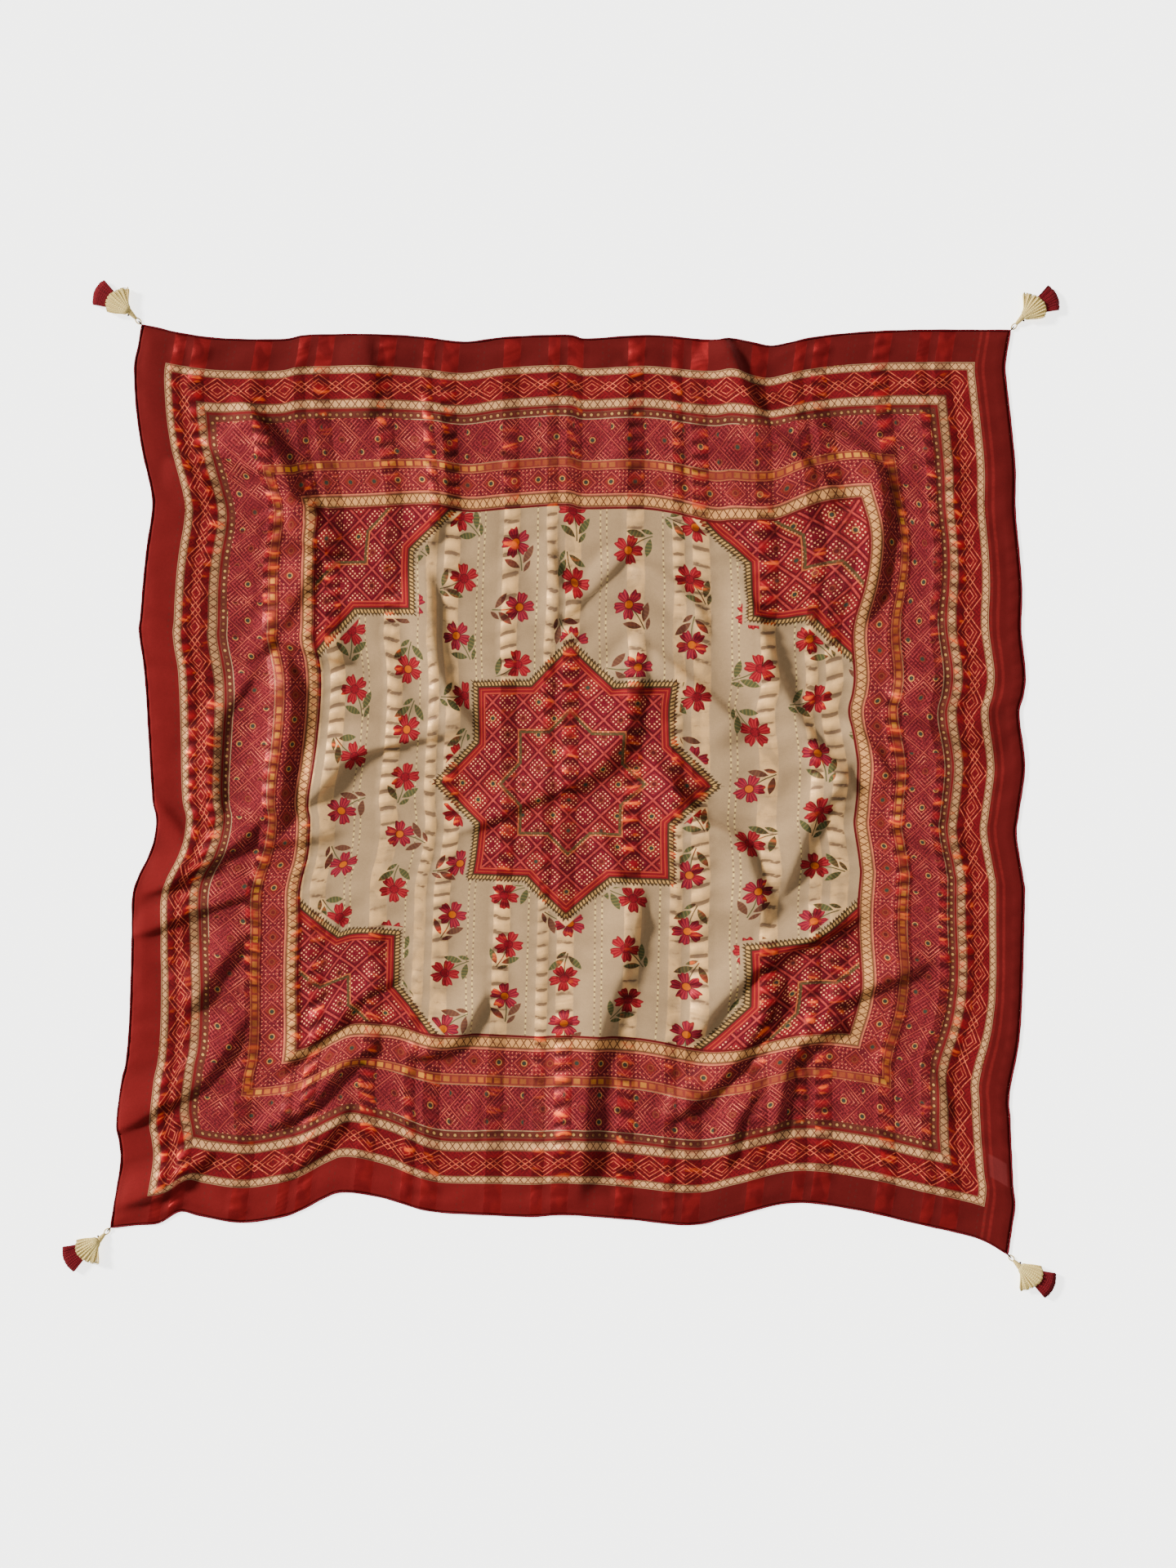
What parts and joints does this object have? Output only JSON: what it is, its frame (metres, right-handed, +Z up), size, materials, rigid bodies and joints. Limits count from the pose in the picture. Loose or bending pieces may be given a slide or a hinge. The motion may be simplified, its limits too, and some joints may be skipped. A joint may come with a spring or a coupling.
{
  "type": "square scarf with corner tassels",
  "caption": "Square printed scarf laid flat with soft folds, nested borders round a pale field, crinkled stripes and a cream and red tassel at the corners.",
  "frame": {"origin": "middle of the laid scarf's outline, on the floor", "axes": "+X towards the picture's right edge, +Y towards its top edge, +Z up off the floor"},
  "size_m": [1.0795, 1.1013, 0.0144],
  "materials": {
    "printed_cloth": "soft, sheer plain weave with satin stripes",
    "label_cloth": "matt woven tape",
    "cream_thread": "matt twisted thread",
    "red_thread": "soft twisted thread",
    "dark_cord": "dull cord"
  },
  "bodies": {
    "root": {"scarf_cloth": "printed_cloth", "care_label": "label_cloth", "tassel_top_left_cord": "dark_cord", "tassel_top_left_eye": "cream_thread", "tassel_top_left_neck": "cream_thread", "tassel_top_left_knot": "dark_cord", "tassel_top_left_cream_tuft": "cream_thread", "tassel_top_left_red_tuft": "red_thread", "tassel_top_right_cord": "dark_cord", "tassel_top_right_eye": "cream_thread", "tassel_top_right_neck": "cream_thread", "tassel_top_right_knot": "dark_cord", "tassel_top_right_cream_tuft": "cream_thread", "tassel_top_right_red_tuft": "red_thread", "tassel_bottom_left_cord": "dark_cord", "tassel_bottom_left_eye": "cream_thread", "tassel_bottom_left_neck": "cream_thread", "tassel_bottom_left_knot": "dark_cord", "tassel_bottom_left_cream_tuft": "cream_thread", "tassel_bottom_left_red_tuft": "red_thread", "tassel_bottom_right_cord": "dark_cord", "tassel_bottom_right_eye": "cream_thread", "tassel_bottom_right_neck": "cream_thread", "tassel_bottom_right_knot": "dark_cord", "tassel_bottom_right_cream_tuft": "cream_thread", "tassel_bottom_right_red_tuft": "red_thread"}
  },
  "joints": []
}
